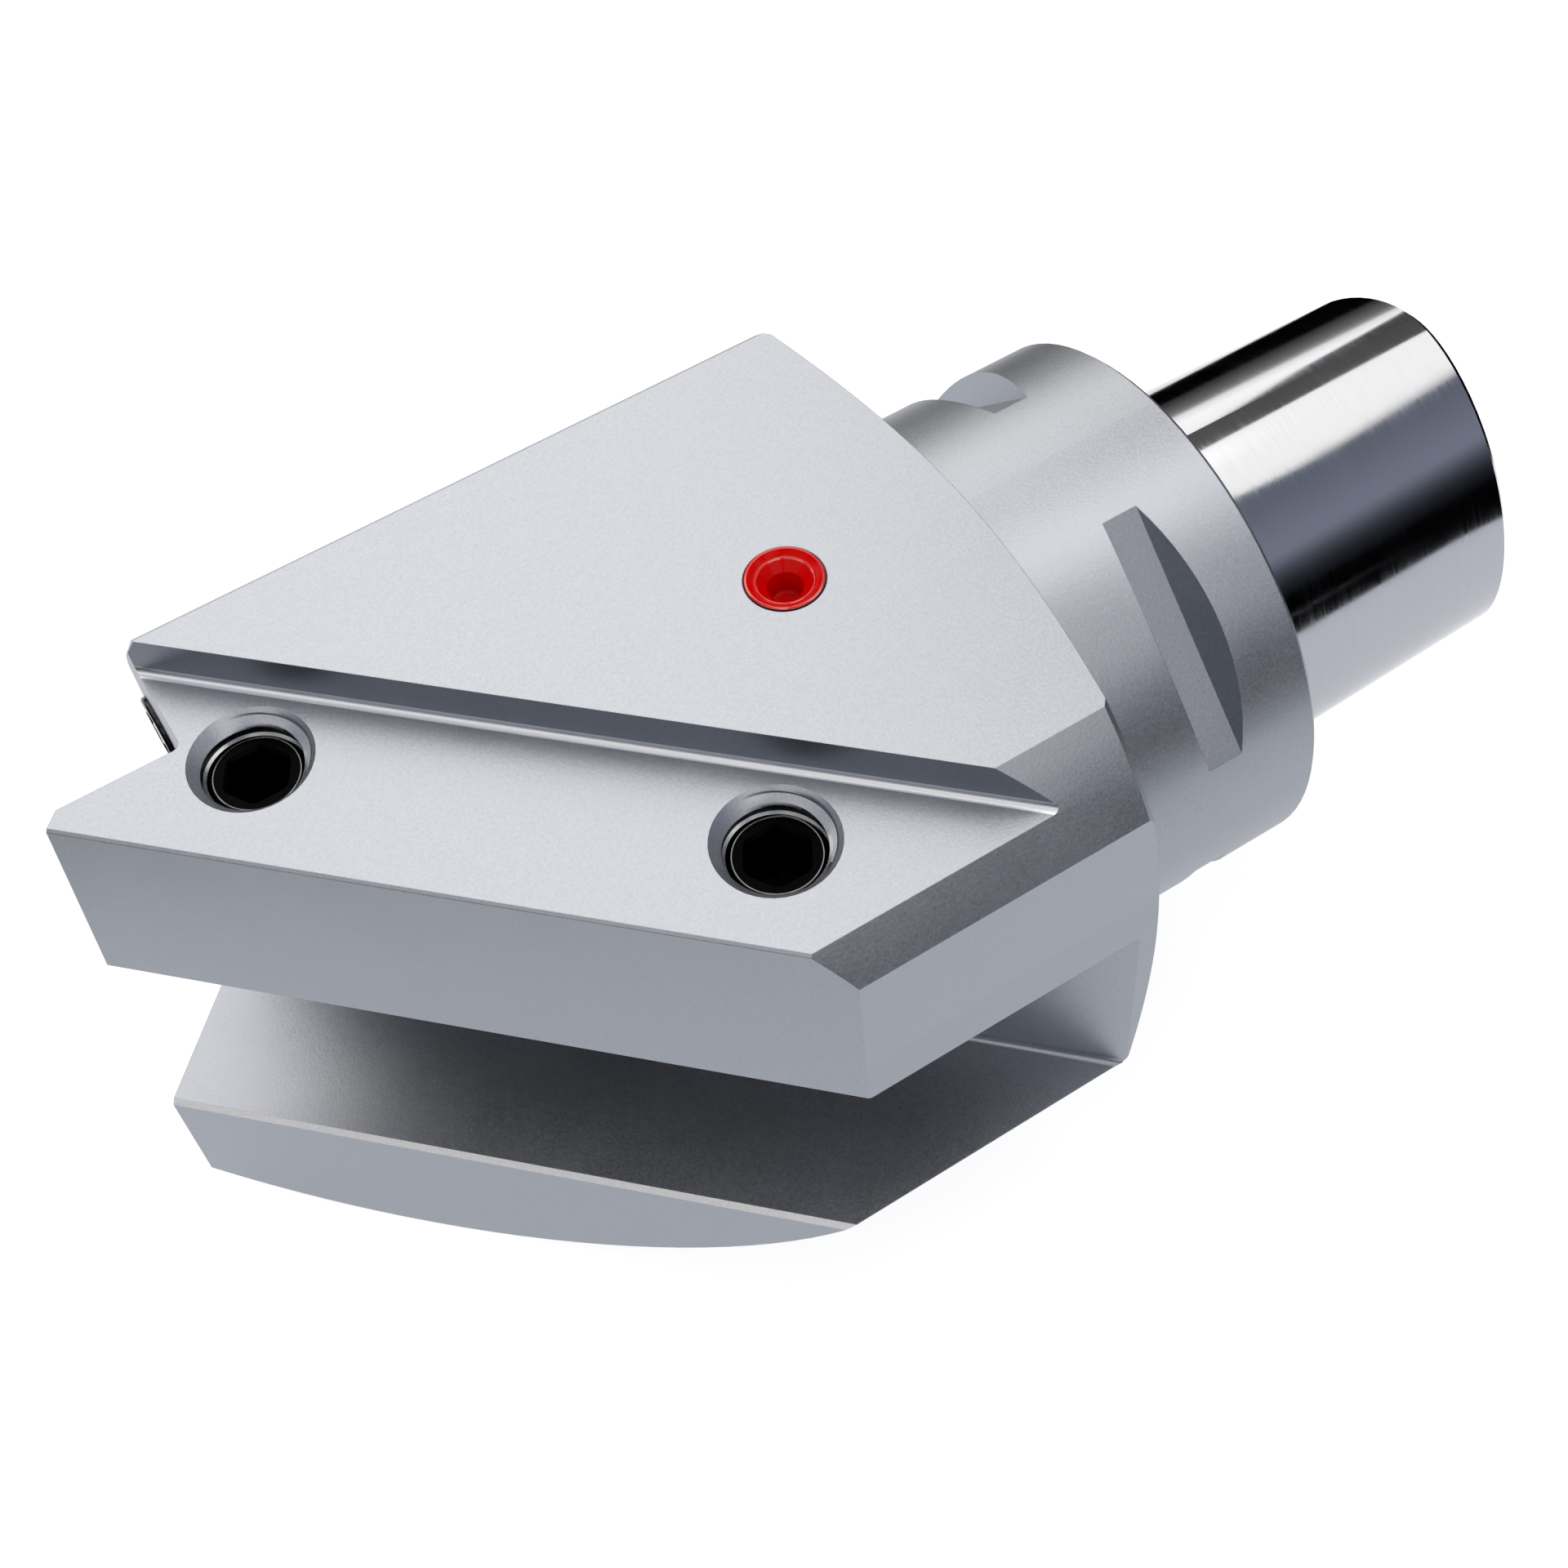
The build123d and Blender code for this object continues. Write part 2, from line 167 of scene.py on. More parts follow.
def satin_steel(name, dark, light):
    """Tool steel, fine blasted and nickel plated: pale blue grey with a fine matt grain."""
    material, tree = start_material(name)
    place = add_node(tree, "ShaderNodeTexCoord").outputs["Object"]
    # Blast grain of about 0.1 mm, drawn at 0.3 mm so that it shows
    grain = add_node(
        tree,
        "ShaderNodeTexNoise",
        {"Vector": place, "Scale": 1 / (0.3 * MM), **FINE_NOISE},
    ).outputs["Fac"]
    # Clouds where the plating is a little thicker, about 9 mm across
    clouds = add_node(
        tree,
        "ShaderNodeTexNoise",
        {"Vector": place, "Scale": 1 / (9 * MM), "Detail": 4.0, "Roughness": 0.6},
    ).outputs["Fac"]
    tone = add_node(
        tree,
        "ShaderNodeMix",
        {0: clouds, 6: srgb(dark), 7: srgb(light)},
        data_type="RGBA",
    )
    speck = add_node(
        tree,
        "ShaderNodeMapRange",
        {"Value": grain, **NOISE_SPAN, "To Min": 0.90, "To Max": 1.08},
    )
    colour = add_node(
        tree,
        "ShaderNodeMix",
        {0: 1.0, 6: tone.outputs[2], 7: speck.outputs["Result"]},
        data_type="RGBA",
        blend_type="MULTIPLY",
    )
    grain_rough = add_node(
        tree,
        "ShaderNodeMapRange",
        {"Value": grain, **NOISE_SPAN, "To Min": 0.36, "To Max": 0.44},
    )
    cloud_rough = add_node(
        tree,
        "ShaderNodeMapRange",
        {"Value": clouds, **NOISE_SPAN, "To Min": -0.02, "To Max": 0.02},
    )
    rough = add_node(
        tree,
        "ShaderNodeMath",
        {0: grain_rough.outputs["Result"], 1: cloud_rough.outputs["Result"]},
        operation="ADD",
    )
    # The blast rounds every edge a little
    soft_edge = add_node(tree, "ShaderNodeBevel", {"Radius": 0.12 * MM}, samples=4)
    bump = add_node(
        tree,
        "ShaderNodeBump",
        {
            "Height": grain,
            "Strength": 0.9,
            "Distance": 0.02 * MM,
            "Normal": soft_edge.outputs["Normal"],
        },
    )
    shader = add_node(
        tree,
        "ShaderNodeBsdfPrincipled",
        {
            "Base Color": colour.outputs[2],
            "Metallic": 0.9,
            "Roughness": rough.outputs[0],
            "Normal": bump.outputs["Normal"],
        },
    )
    add_node(tree, "ShaderNodeOutputMaterial", {"Surface": shader.outputs[0]})
    return material


def ground_steel():
    """Hardened steel, ground and polished: mirror bright, with fine lines round the shank."""
    material, tree = start_material("ground_hardened_steel")
    place = add_node(tree, "ShaderNodeTexCoord").outputs["Object"]
    # Grinding lines run round X; real ones are some 0.02 mm apart, drawn at 0.18 mm
    across = add_node(
        tree,
        "ShaderNodeMapping",
        {"Vector": place, "Scale": (1 / (0.18 * MM), 1 / (14 * MM), 1 / (14 * MM))},
    )
    lines = add_node(
        tree,
        "ShaderNodeTexNoise",
        {"Vector": across.outputs[0], "Scale": 1.0, **FINE_NOISE},
    ).outputs["Fac"]
    # Haze from wiping, about 5 mm across
    haze = add_node(
        tree,
        "ShaderNodeTexNoise",
        {"Vector": place, "Scale": 1 / (5 * MM), **FINE_NOISE},
    ).outputs["Fac"]
    line_rough = add_node(
        tree,
        "ShaderNodeMapRange",
        {"Value": lines, **NOISE_SPAN, "To Min": 0.08, "To Max": 0.14},
    )
    haze_rough = add_node(
        tree,
        "ShaderNodeMapRange",
        {"Value": haze, **NOISE_SPAN, "To Min": -0.02, "To Max": 0.02},
    )
    rough = add_node(
        tree,
        "ShaderNodeMath",
        {0: line_rough.outputs["Result"], 1: haze_rough.outputs["Result"]},
        operation="ADD",
    )
    colour = add_node(
        tree,
        "ShaderNodeMix",
        {0: lines, 6: srgb("#9FA2AA"), 7: srgb("#A8ABB2")},
        data_type="RGBA",
    )
    bump = add_node(
        tree,
        "ShaderNodeBump",
        {"Height": lines, "Strength": 0.1, "Distance": 0.003 * MM},
    )
    shader = add_node(
        tree,
        "ShaderNodeBsdfPrincipled",
        {
            "Base Color": colour.outputs[2],
            "Metallic": 1.0,
            "Roughness": rough.outputs[0],
            "Normal": bump.outputs["Normal"],
        },
    )
    add_node(tree, "ShaderNodeOutputMaterial", {"Surface": shader.outputs[0]})
    return material


def bored_steel():
    """Bare steel from a boring tool: darker, with feed marks round the spindle axis."""
    material, tree = start_material("bored_tool_steel")
    place = add_node(tree, "ShaderNodeTexCoord").outputs["Object"]
    # Feed marks 0.2 mm apart, drawn at 0.4 mm so that they show
    parts = add_node(tree, "ShaderNodeSeparateXYZ", {0: place})
    wave = add_node(
        tree,
        "ShaderNodeMath",
        {0: parts.outputs["X"], 1: 2 * math.pi / (0.4 * MM)},
        operation="MULTIPLY",
    )
    marks = add_node(tree, "ShaderNodeMath", {0: wave.outputs[0]}, operation="SINE")
    # Stains of cutting oil, about 4 mm across
    stain = add_node(
        tree,
        "ShaderNodeTexNoise",
        {"Vector": place, "Scale": 1 / (4 * MM), **FINE_NOISE},
    ).outputs["Fac"]
    colour = add_node(
        tree,
        "ShaderNodeMix",
        {0: stain, 6: srgb("#7E8188"), 7: srgb("#8E9198")},
        data_type="RGBA",
    )
    rough = add_node(
        tree,
        "ShaderNodeMapRange",
        {"Value": stain, **NOISE_SPAN, "To Min": 0.24, "To Max": 0.36},
    )
    bump = add_node(
        tree,
        "ShaderNodeBump",
        {"Height": marks.outputs[0], "Strength": 0.3, "Distance": 0.006 * MM},
    )
    shader = add_node(
        tree,
        "ShaderNodeBsdfPrincipled",
        {
            "Base Color": colour.outputs[2],
            "Metallic": 1.0,
            "Roughness": rough.outputs["Result"],
            "Normal": bump.outputs["Normal"],
        },
    )
    add_node(tree, "ShaderNodeOutputMaterial", {"Surface": shader.outputs[0]})
    return material


def patterned_surface(name, dark, light, low, high, noise, bump_height, finish):
    """A surface whose tone, roughness and bumps all follow one noise, with its other settings."""
    material, tree = start_material(name)
    place = add_node(tree, "ShaderNodeTexCoord").outputs["Object"]
    pattern = add_node(tree, "ShaderNodeTexNoise", {"Vector": place, **noise}).outputs["Fac"]
    colour = add_node(
        tree,
        "ShaderNodeMix",
        {0: pattern, 6: srgb(dark), 7: srgb(light)},
        data_type="RGBA",
    )
    rough = add_node(
        tree,
        "ShaderNodeMapRange",
        {"Value": pattern, **NOISE_SPAN, "To Min": low, "To Max": high},
    )
    bump = add_node(tree, "ShaderNodeBump", {"Height": pattern, **bump_height})
    shader = add_node(
        tree,
        "ShaderNodeBsdfPrincipled",
        {
            "Base Color": colour.outputs[2],
            "Roughness": rough.outputs["Result"],
            "Normal": bump.outputs["Normal"],
            **finish,
        },
    )
    add_node(tree, "ShaderNodeOutputMaterial", {"Surface": shader.outputs[0]})
    return material


def speckled_metal(name, dark, light, grain_size, low, high, bump_depth, metal=1.0):
    """A metal skin whose tone and roughness vary with a fine grain."""
    grain = {"Scale": 1 / grain_size, **FINE_NOISE}
    bumps = {"Strength": 0.3, "Distance": bump_depth}
    return patterned_surface(name, dark, light, low, high, grain, bumps, {"Metallic": metal})


def moulded_plastic(name, dark, light, rough, shine, glow, glow_depth):
    """A moulded plastic: its colour, a faint flow pattern, and light that sinks in a little."""
    # Flow lines of the melt, about 1.5 mm across
    flow = {"Scale": 1 / (1.5 * MM), "Detail": 2.0, "Roughness": 0.6}
    bumps = {"Strength": 0.1, "Distance": 0.02 * MM}
    finish = {
        "IOR": 1.51,
        "Specular IOR Level": shine,
        "Subsurface Weight": glow,
        "Subsurface Scale": glow_depth,
        "Subsurface Radius": (1.0, 0.35, 0.25),
    }
    return patterned_surface(name, dark, light, rough, rough + 0.06, flow, bumps, finish)


SATIN = satin_steel("blasted_nickel_plated_steel", "#969BA5", "#9FA4AE")
# Step wall: darkened with painted shade
SHADED = satin_steel("step_wall_painted_shade", "#7A808B", "#868C97")
GROUND = ground_steel()
BORED = bored_steel()
# Edge break of the lower jaw: rough steel, lightened as a painted highlight
JAW_EDGE_PAINTED_HIGHLIGHT = speckled_metal(
    "jaw_edge_painted_highlight", "#DADCE0", "#F4F5F7", 0.4 * MM, 0.3, 0.45, 0.02 * MM, metal=0.5
)
# Foot of the step wall: a painted highlight along its rounded corner
FOOT_PAINTED_HIGHLIGHT = speckled_metal(
    "foot_fillet_painted_highlight", "#C6CAD4", "#D4D8E0", 0.4 * MM, 0.34, 0.42, 0.01 * MM, metal=0.9
)
# Roof of the slot: darkened with painted shade
SLOT = speckled_metal("slot_roof_painted_shade", "#404248", "#4C4E55", 0.5 * MM, 0.28, 0.4, 0.01 * MM)
# Cut thread, dulled by oil
THREAD = speckled_metal("oiled_cut_thread", "#85888F", "#9B9EA5", 0.5 * MM, 0.2, 0.3, 0.01 * MM)
# Deep grooves of a cut thread: painted shade
GROOVE_PAINTED_SHADE = speckled_metal("thread_groove_painted_shade", "#101012", "#1E1E21", 0.5 * MM, 0.2, 0.3, 0.01 * MM)
# Black oxide over ground steel: a thin dark skin with a soft shine
OXIDE = speckled_metal("black_oxide_steel", "#020203", "#060607", 0.3 * MM, 0.2, 0.3, 0.01 * MM)
# Dark steel rubbed smooth where the nozzle ring was rolled over the ball
BURNISHED = speckled_metal(
    "burnished_ring_steel", "#2C2D31", "#3C3D42", 0.3 * MM, 0.16, 0.24, 0.01 * MM
)
# Edge of a screw: worn oxide with a painted highlight, dark and bright in patches
WORN_EDGE_AND_HIGHLIGHT = speckled_metal("worn_oxide_edge_and_painted_highlight", "#161618", "#8A8D92", 1.2 * MM, 0.2, 0.3, 0.01 * MM)
# Hardened ball, lapped: a clean silver mirror
POLISHED = speckled_metal(
    "polished_ball_steel", "#B4B7BC", "#C2C5CA", 0.6 * MM, 0.06, 0.1, 0.002 * MM
)
# Polyethylene, moulded: a waxy, even red that takes in a little light
RED = moulded_plastic("moulded_red_polyethylene", "#A60101", "#C00202", 0.1, 0.06, 0.05, 0.5 * MM)
# Narrow edges of the plug, rubbed shiny: they carry its small highlights
SHINY_RED = moulded_plastic("rubbed_red_edge", "#B00404", "#C00606", 0.03, 1.0, 0.05, 0.5 * MM)
# Acetal, turned: cream white with a dull sheen and soft depth
ACETAL = moulded_plastic("machined_acetal", "#E0DAC6", "#EAE5D4", 0.35, 0.5, 0.2, 0.4 * MM)


def make_object(name, mesh, materials):
    """Puts a mesh in the scene with its materials."""
    item = bpy.data.objects.new(name, mesh)
    bpy.context.scene.collection.objects.link(item)
    for material in materials:
        mesh.materials.append(material)
    return item


def make_piece(name, mesh, materials, body, replaced=()):
    """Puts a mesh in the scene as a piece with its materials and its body."""
    item = make_object(name, mesh, materials)
    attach(item, body)
    if replaced:
        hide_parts(*replaced)
    return item


def shape_to_mesh(shape, name):
    """Turns a bmesh into a mesh and frees it."""
    mesh = bpy.data.meshes.new(name)
    shape.to_mesh(mesh)
    shape.free()
    return mesh


def spun_shape(points, angle, steps, closed, lift=0.0):
    """A new shape: a line of points spun about Z, and lifted at each step."""
    shape = bmesh.new()
    line = [shape.verts.new(point) for point in points]
    edges = [shape.edges.new(pair) for pair in zip(line, line[1:])]
    bmesh.ops.spin(
        shape,
        geom=line + edges,
        cent=(0, 0, 0),
        axis=(0, 0, 1),
        dvec=(0, 0, lift),
        angle=angle,
        steps=steps,
        use_merge=closed,
    )
    bmesh.ops.remove_doubles(shape, verts=shape.verts, dist=WELD)
    return shape


def turn_shape(shape, degrees, axis):
    """Turns a shape about an axis through the origin."""
    turn = Matrix.Rotation(math.radians(degrees), 3, axis)
    bmesh.ops.rotate(shape, verts=shape.verts, cent=(0, 0, 0), matrix=turn)


def sharpen(shape, degrees):
    """Smooth faces, with every edge sharper than an angle left sharp."""
    limit = math.radians(degrees)
    for face in shape.faces:
        face.smooth = True
    for edge in shape.edges:
        if len(edge.link_faces) == 2:
            edge.smooth = edge.calc_face_angle(0) < limit


def paint(node, material):
    """Gives a CAD node's object one material."""
    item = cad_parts[node]
    item.data.materials.clear()
    item.data.materials.append(material)


def axis_of(node):
    """The upright axis of a CAD node, as the point at its middle."""
    low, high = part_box(node)
    return Vector(((low.x + high.x) / 2, (low.y + high.y) / 2, 0))


# Holder body: a merged copy of the CAD solid, with its own corner normals, a finish for each
# region (some carry painted shade or painted highlights), and without the plain walls of the
# threaded holes, which get real threads below
# region, and without the plain walls of the threaded holes, which get real threads below
HOLE_AXES = [axis_of("clamp_screw_left"), axis_of("clamp_screw_right")]
HOLDER_FINISHES = (SATIN, GROUND, BORED, JAW_EDGE_PAINTED_HIGHLIGHT, FOOT_PAINTED_HIGHLIGHT, SLOT, SHADED)


def holder_finish(face):
    """The finish of a face of the holder, or None where the face is cut away."""
    place = face.calc_center_median()
    normal = face.normal
    for hole in HOLE_AXES:
        reach = (Vector((place.x, place.y, 0)) - hole).length
        if reach < SINK_RADIUS and abs(normal.z) < FACING and place.z > SLOT_CEILING_Z:
            return None
    radius = math.hypot(place.y, place.z)
    along_bolt = M20_END_X < place.x < M20_MOUTH_X
    if along_bolt and radius < M20_CREST + M20_MOUTH_CHAMFER and abs(normal.x) < FACING:
        return None
    on_end_edge = place.x > SHANK_EDGE_X and radius > BORE_MOUTH_RADIUS
    on_taper = place.x > NEAR and radius > BORE_RADIUS
    on_gauge_face = place.x > -NEAR and normal.x > FACING and radius > BORE_RADIUS
    if on_end_edge or on_taper or on_gauge_face:
        return GROUND
    if place.x > BORE_END_X and radius < BORE_RADIUS:
        return BORED
    across = -(place.x + place.y) / ROOT2
    # Edge break of the lower jaw: painted highlight
    at_jaw_edge = LOWER_JAW_FRONT - JAW_EDGE_BREAK < across < LOWER_JAW_FRONT
    slants_up = 0.6 < normal.z < 0.8
    if at_jaw_edge and slants_up and place.z < LOWER_JAW_TOP_Z:
        return JAW_EDGE_PAINTED_HIGHLIGHT
    # Roof of the slot: painted shade
    in_slot = LOWER_JAW_TOP_Z < place.z < SLOT_CEILING_Z + NEAR
    if in_slot and normal.z < -FACING:
        return SLOT
    # Step wall: painted shade
    if abs(across - STEP_WALL) < NEAR and place.z > LEDGE_Z + STEP_FOOT_RADIUS:
        return SHADED
    # Foot of the step wall: painted highlight
    in_foot = STEP_WALL < across < STEP_WALL + STEP_FOOT_RADIUS
    if in_foot and LEDGE_Z < place.z < LEDGE_Z + STEP_FOOT_RADIUS:
        return FOOT_PAINTED_HIGHLIGHT
    return SATIN


def make_holder():
    """The holder body's piece."""
    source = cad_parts["holder_body"].data
    corner_normals = [tuple(corner.vector) for corner in source.corner_normals]
    shape = bmesh.new()
    shape.from_mesh(source)
    origin = shape.faces.layers.int.new("cad_face")
    shape.faces.ensure_lookup_table()
    for face in shape.faces:
        face[origin] = face.index
    bmesh.ops.remove_doubles(shape, verts=shape.verts, dist=WELD)
    cut = []
    for face in shape.faces:
        finish = holder_finish(face)
        if finish is None:
            cut.append(face)
        else:
            face.material_index = HOLDER_FINISHES.index(finish)
        face.smooth = True
    bmesh.ops.delete(shape, geom=cut, context="FACES")
    # The holes' lower rims are opened to the radius of their countersinks, to let the screws pass
    for vertex in shape.verts:
        for hole in HOLE_AXES:
            arm = Vector((vertex.co.x, vertex.co.y, 0)) - hole
            at_rim = abs(arm.length - M12_CAD_RADIUS) < NEAR
            if at_rim and abs(vertex.co.z - SLOT_CEILING_Z) < NEAR:
                vertex.co += arm * (LOWER_SINK_RADIUS / arm.length - 1)
    mesh = shape_to_mesh(shape, "holder_steel_body")
    numbers = mesh.attributes["cad_face"].data
    normals = []
    for polygon in mesh.polygons:
        cad_face = source.polygons[numbers[polygon.index].value]
        normals.extend(corner_normals[loop] for loop in cad_face.loop_indices)
    mesh.attributes.remove(mesh.attributes["cad_face"])
    make_piece(
        "holder_steel_body", mesh, HOLDER_FINISHES, "holder", ["holder_body"]
    )
    mesh.normals_split_custom_set(normals)


make_holder()


def thread_profile(pitch, crest, root):
    """Places along one pitch of a metric hole thread, and the radius at each."""
    depth = root - crest
    flank = depth * math.tan(math.radians(FLANK_ANGLE))
    crest_flat = pitch / 4
    root_flat = pitch - crest_flat - 2 * flank
    steps = FLANK_STEPS
    points = [(0, crest), (crest_flat / 2, crest), (crest_flat, crest)]
    points += [
        (crest_flat + flank * i / steps, crest + depth * i / steps) for i in range(1, steps + 1)
    ]
    start = crest_flat + flank + root_flat
    points += [(start + flank * i / steps, root - depth * i / steps) for i in range(steps)]
    return points


def thread_wall(pitch, crest, root, bottom, top, phase=0):
    """A helical wall about Z from bottom to top, whose rows follow the thread."""
    profile = thread_profile(pitch, crest, root)
    first_turn = math.floor((bottom - phase) / pitch) - 1
    last_turn = math.ceil((top - phase) / pitch)
    points = []
    for turn in range(first_turn, last_turn + 1):
        start = turn * pitch + phase
        points += [(radius, 0, start + along) for along, radius in profile]
    shape = spun_shape(points, 2 * math.pi, THREAD_STEPS, False, pitch / THREAD_STEPS)
    for height, way in ((bottom, -1), (top, 1)):
        everything = shape.verts[:] + shape.edges[:] + shape.faces[:]
        bmesh.ops.bisect_plane(
            shape,
            geom=everything,
            dist=ON_PLANE,
            plane_co=(0, 0, height),
            plane_no=(0, 0, way),
            clear_outer=True,
        )
    return shape


def set_radius(shape, rule):
    """Moves each point of a wall about Z out or in to the radius that a rule gives it."""
    for vertex in shape.verts:
        radius = math.hypot(vertex.co.x, vertex.co.y)
        wanted = rule(radius, vertex.co.z)
        vertex.co.x *= wanted / radius
        vertex.co.y *= wanted / radius


def rim_edges(edges, height):
    """Those of some edges that are open and lie at one height."""
    level = [e for e in edges if all(abs(v.co.z - height) < WELD for v in e.verts)]
    return [edge for edge in level if edge.is_boundary]


def extend_rim(shape, edges, height, rule, finish):
    """Extrudes an open rim to another height, and to the radius that a rule gives each angle."""
    result = bmesh.ops.extrude_edge_only(shape, edges=edges)["geom"]
    for part in result:
        if isinstance(part, bmesh.types.BMVert):
            angle = math.atan2(part.co.y, part.co.x)
            radius = rule(angle)
            part.co = Vector((radius * math.cos(angle), radius * math.sin(angle), height))
        elif isinstance(part, bmesh.types.BMFace):
            part.material_index = finish
    return rim_edges([part for part in result if isinstance(part, bmesh.types.BMEdge)], height)


def build_end(shape, height, rows, tip):
    """Closes a wall's open rim: it runs through rows, then to a point on the axis at the tip."""
    rim = rim_edges(shape.edges, height)
    for row_height, rule, finish in rows:
        rim = extend_rim(shape, rim, row_height, rule, finish)
    result = bmesh.ops.extrude_edge_only(shape, edges=rim)["geom"]
    points = [part for part in result if isinstance(part, bmesh.types.BMVert)]
    for vertex in points:
        vertex.co = Vector((0, 0, tip))
    bmesh.ops.remove_doubles(shape, verts=points, dist=WELD)


def circle(radius):
    """The rule for a circle, whose radius is the same at each angle."""
    return lambda angle: radius


def hexagon(half_width):
    """The rule for a hexagon's radius at each angle."""
    sixth = math.pi / 3
    return lambda angle: half_width / math.cos((angle % sixth) - sixth / 2)


def thread_hole(name, centre):
    """Threaded hole of a clamp screw, countersunk at both ends."""
    shape = thread_wall(M12_PITCH, M12_CREST, M12_ROOT, SLOT_CEILING_Z, LEDGE_Z, M12_PHASE)

    def countersunk(radius, height):
        upper_cone = SINK_RADIUS - (LEDGE_Z - height)
        lower_cone = LOWER_SINK_RADIUS - (height - SLOT_CEILING_Z)
        return max(radius, upper_cone, lower_cone)

    set_radius(shape, countersunk)
    # The thread between the cones has bright crests, and painted shade deep in its grooves
    for face in shape.faces:
        place = face.calc_center_median()
        radius = math.hypot(place.x, place.y)
        above_lower_cone = place.z - SLOT_CEILING_Z > LOWER_SINK_RADIUS - M12_CREST
        below_upper_cone = LEDGE_Z - place.z > SINK_RADIUS - M12_CREST
        if above_lower_cone and below_upper_cone:
            face.material_index = 1 if radius < M12_CREST + GROOVE_SHADE_DEPTH else 2
    sharpen(shape, THREAD_SHARP)
    bmesh.ops.reverse_faces(shape, faces=shape.faces)
    bmesh.ops.translate(shape, verts=shape.verts, vec=centre)
    finishes = (SATIN, THREAD, GROOVE_PAINTED_SHADE)
    make_piece(name, shape_to_mesh(shape, name), finishes, "holder")


def clamp_screw(node):
    """Set screw with a cut thread, a hexagon socket and a cup point."""
    low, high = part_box(node)
    shoulder = high.z - SCREW_EDGE
    shape = thread_wall(M12_PITCH, M12_CREST, M12_ROOT, low.z, shoulder, M12_PHASE)

    def chamfered(radius, height):
        at_top = SCREW_TOP_RADIUS + (high.z - height)
        at_point = SCREW_POINT_RADIUS + (height - low.z)
        return min(radius - M12_GAP, at_top, at_point)

    set_radius(shape, chamfered)
    socket = hexagon(SOCKET_HALF_WIDTH)

    def mouth(angle):
        return min(socket(angle) + SOCKET_CHAMFER, SOCKET_MOUTH_RADIUS)

    # Rows of each end: height, radius, and finish 1 for the worn edge with its painted highlight
    socket_rows = (
        (high.z, circle(SCREW_TOP_RADIUS), 1),
        (high.z, circle(SCREW_TOP_RADIUS - SCREW_EDGE), 1),
        (high.z, mouth, 0),
        (high.z - SOCKET_CHAMFER, socket, 0),
        (high.z - SOCKET_DEPTH, socket, 0),
    )
    cup_rows = (
        (low.z, circle(CUP_RADIUS), 0),
        (low.z + CUP_DEPTH, circle(CUP_FLOOR_RADIUS), 0),
    )
    build_end(shape, shoulder, socket_rows, high.z - SOCKET_DEPTH - SOCKET_TIP_DEPTH)
    build_end(shape, low.z, cup_rows, low.z + CUP_TIP_DEPTH)
    bmesh.ops.recalc_face_normals(shape, faces=shape.faces)
    sharpen(shape, THREAD_SHARP)
    bmesh.ops.translate(shape, verts=shape.verts, vec=axis_of(node))
    name = node + "_threaded"
    finishes = (OXIDE, WORN_EDGE_AND_HIGHLIGHT)
    make_piece(name, shape_to_mesh(shape, name), finishes, node, [node])


for hole_side in ("left", "right"):
    screw_node = "clamp_screw_" + hole_side
    thread_hole("clamp_hole_thread_" + hole_side, axis_of(screw_node))
    clamp_screw(screw_node)


def bolt_thread():
    """Thread for a centre bolt, deep in the shank."""
    shape = thread_wall(M20_PITCH, M20_CREST, M20_ROOT, M20_END_X, M20_MOUTH_X)

    def run_out(radius, height):
        fade = min(1.0, (height - M20_END_X) / M20_RUN_OUT)
        radius = M20_CREST + (radius - M20_CREST) * fade
        return max(radius, M20_CREST + M20_MOUTH_CHAMFER - (M20_MOUTH_X - height))

    set_radius(shape, run_out)
    sharpen(shape, THREAD_SHARP)
    bmesh.ops.reverse_faces(shape, faces=shape.faces)
    turn_shape(shape, 90, "Y")
    name = "centre_bolt_thread"
    make_piece(name, shape_to_mesh(shape, name), [THREAD], "holder")


bolt_thread()


def rounded(corners):
    """Points in metres along a half section, whose corners are rounded: each corner is its
    radius, height and rounding in millimetres."""
    points = []
    for index, (x, z, rounding) in enumerate(corners):
        here = Vector((x, z))
        if rounding == 0 or index in (0, len(corners) - 1):
            points.append(here)
            continue
        before = (Vector(corners[index - 1][:2]) - here).normalized()
        after = (Vector(corners[index + 1][:2]) - here).normalized()
        half = before.angle(after) / 2
        reach = rounding / math.tan(half)
        start, end = here + before * reach, here + after * reach
        for step in range(ROUND_STEPS + 1):
            share = step / ROUND_STEPS
            points.append(
                start * (1 - share) ** 2 + here * 2 * share * (1 - share) + end * share**2
            )
    return [(point.x * MM, 0, point.y * MM) for point in points]


# Port plug: radius, height and rounding of each corner of its half section, in millimetres, and
# the edges on its top that are rubbed shiny
PLUG_CORNERS = [
    (0.0, 29.6, 0),
    (3.05, 29.6, 0),
    (3.45, 30.0, 0.2),
    (3.45, 33.15, 0),
    (4.1, 33.98, 0.1),
    (4.1, 34.08, 0.06),
    (3.88, 34.2, 0.12),
    (3.2, 33.66, 0.2),
    (3.02, 33.86, 0.05),
    (2.84, 33.7, 0.05),
    (1.9, 32.7, 0.3),
    (1.7, 31.6, 0.1),
    (1.6, 30.3, 0.4),
    (0.0, 30.05, 0),
]
PLUG_EDGE_Z = 33.6 * MM
PLUG_RIM_RADIUS = 3.85 * MM
PLUG_LIP_INNER = 2.84 * MM
PLUG_LIP_OUTER = 3.1 * MM


